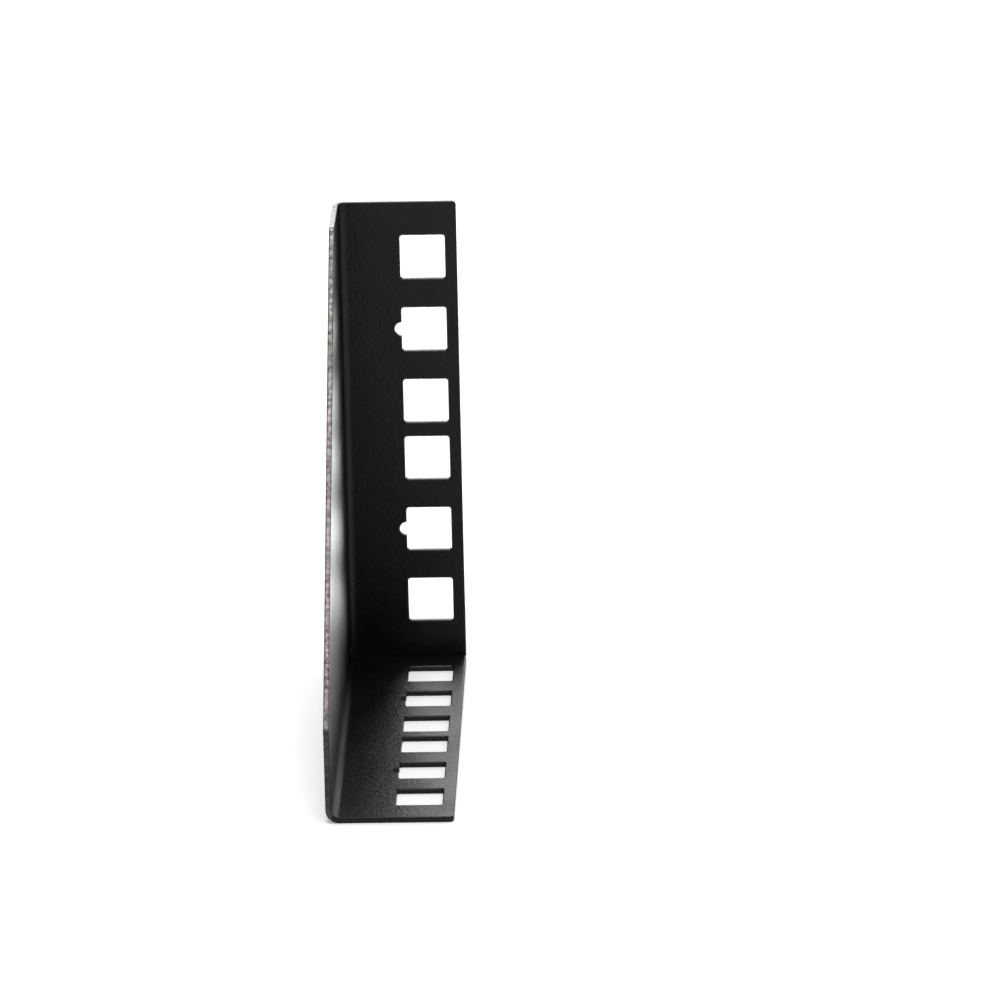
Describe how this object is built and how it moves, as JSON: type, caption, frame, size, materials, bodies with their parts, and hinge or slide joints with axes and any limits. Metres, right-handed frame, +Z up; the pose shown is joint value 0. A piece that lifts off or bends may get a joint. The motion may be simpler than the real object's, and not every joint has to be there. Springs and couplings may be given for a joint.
{
  "type": "wall mount rack bracket",
  "caption": "Folded steel bracket with a slanted side plate and two flanges at right angles, each with a column of square rack holes, for hanging rack equipment on a wall.",
  "frame": {"origin": "middle of the outer box, on the plane of the base flange's outer face", "axes": "+Z up, along the upright flange; +Y towards the wall side, out of the upright flange's outer face; +X from the side plate to the flanges' free edges"},
  "size_m": [0.026, 0.102, 0.102],
  "materials": {
    "black_paint": "satin powder coat"
  },
  "bodies": {
    "root": {"rack_bracket": "black_paint"}
  },
  "joints": []
}
